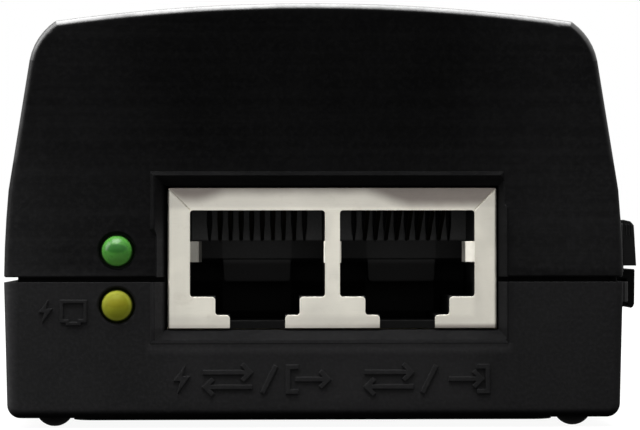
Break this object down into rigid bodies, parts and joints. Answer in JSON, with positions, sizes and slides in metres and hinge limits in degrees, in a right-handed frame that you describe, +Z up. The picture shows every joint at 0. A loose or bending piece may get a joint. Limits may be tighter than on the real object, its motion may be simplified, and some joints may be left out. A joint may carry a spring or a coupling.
{
  "type": "poe injector",
  "caption": "Mains-fed power-over-Ethernet injector: arched black two-part case, shielded twin RJ45 jack, green and yellow indicator lamps, side latch and rear mains inlet.",
  "frame": {"origin": "centre of the raised flat panel on the underside", "axes": "+X right seen from the sockets, +Y from the sockets to the mains inlet, +Z up"},
  "size_m": [0.0601, 0.119, 0.0395],
  "materials": {
    "cover_plastic": "fine satin moulding grain, black",
    "case_plastic": "fine spark-eroded grain, black",
    "rubber_black": "matt",
    "screw_steel": "zinc plated",
    "shield_nickel": "nickel plated sheet, satin",
    "jack_plastic": "moulded, black",
    "contact_gold": "gold flashed spring wire",
    "led_green_epoxy": "diffused green epoxy",
    "led_yellow_epoxy": "diffused yellow epoxy",
    "tinned_wire": "tinned",
    "inlet_plastic": "moulded, black",
    "blade_nickel": "nickel plated brass",
    "fuse_brown": "moulded brown",
    "varistor_blue": "dipped epoxy, blue",
    "xcap_yellow": "moulded yellow box",
    "ferrite_green": "epoxy coated ferrite ring",
    "ferrite_grey": "ground sintered ferrite",
    "enamel_copper": "enamelled copper wire",
    "chip_epoxy": "moulded epoxy, black",
    "cap_sleeve": "shrink sleeve, dark blue",
    "bobbin_phenolic": "phenolic moulding, dark",
    "coil_tape": "polyester tape, yellow",
    "sink_aluminium": "extruded, mill finish",
    "ntc_dark": "dipped, dark green",
    "pcb_green": "green solder mask on glass laminate",
    "fish_paper": "smooth insulating paper",
    "latch_plastic": "moulded, black"
  },
  "bodies": {
    "body": {"bottom_case": "case_plastic", "bridge_rectifier": "chip_epoxy", "bulk_capacitor": "cap_sleeve", "case_screws": "screw_steel", "choke_core": "ferrite_green", "choke_leads": "enamel_copper", "choke_windings": "enamel_copper", "data_transformers": "chip_epoxy", "diode_heatsink": "sink_aluminium", "feet": "rubber_black", "fuse": "fuse_brown", "green_led": "led_green_epoxy", "heatsink_screws": "screw_steel", "inlet_body": "inlet_plastic", "inlet_earth_pin": "blade_nickel", "inlet_line_pin": "blade_nickel", "inlet_neutral_pin": "blade_nickel", "inrush_limiter": "ntc_dark", "insulation_sheet": "fish_paper", "jack_fixed_contacts": "contact_gold", "jack_housing": "jack_plastic", "jack_shield": "shield_nickel", "latch_housing": "latch_plastic", "latch_pin": "screw_steel", "led_holder": "jack_plastic", "led_leads": "tinned_wire", "main_pcb": "pcb_green", "mosfet_heatsink": "sink_aluminium", "optocoupler": "chip_epoxy", "output_capacitors": "cap_sleeve", "output_diode": "chip_epoxy", "output_inductor_coil": "enamel_copper", "output_inductor_core": "ferrite_grey", "poe_controller": "chip_epoxy", "power_transistor": "chip_epoxy", "top_cover": "cover_plastic", "transformer_bobbin": "bobbin_phenolic", "transformer_core_lower": "ferrite_grey", "transformer_core_upper": "ferrite_grey", "transformer_pins": "tinned_wire", "transformer_winding": "coil_tape", "varistor": "varistor_blue", "x_capacitor": "xcap_yellow", "y_capacitor": "varistor_blue", "yellow_led": "led_yellow_epoxy"},
    "latch": {"latch_lever": "latch_plastic"},
    "out_contacts": {"out_port_contacts": "contact_gold"},
    "in_contacts": {"in_port_contacts": "contact_gold"}
  },
  "joints": [
    {"name": "latch_pivot", "type": "hinge", "parent": "body", "child": "latch", "pos_m": [0.02978, -0.0445, 0.0151], "axis": [0, -1, 0], "range_deg": [0, 30]},
    {"name": "out_contacts_flex", "type": "hinge", "parent": "body", "child": "out_contacts", "pos_m": [-0.00522, -0.0563, 0.01972], "axis": [1, 0, 0], "range_deg": [0, 12]},
    {"name": "in_contacts_flex", "type": "hinge", "parent": "body", "child": "in_contacts", "pos_m": [0.00876, -0.0563, 0.01972], "axis": [1, 0, 0], "range_deg": [0, 12]}
  ]
}
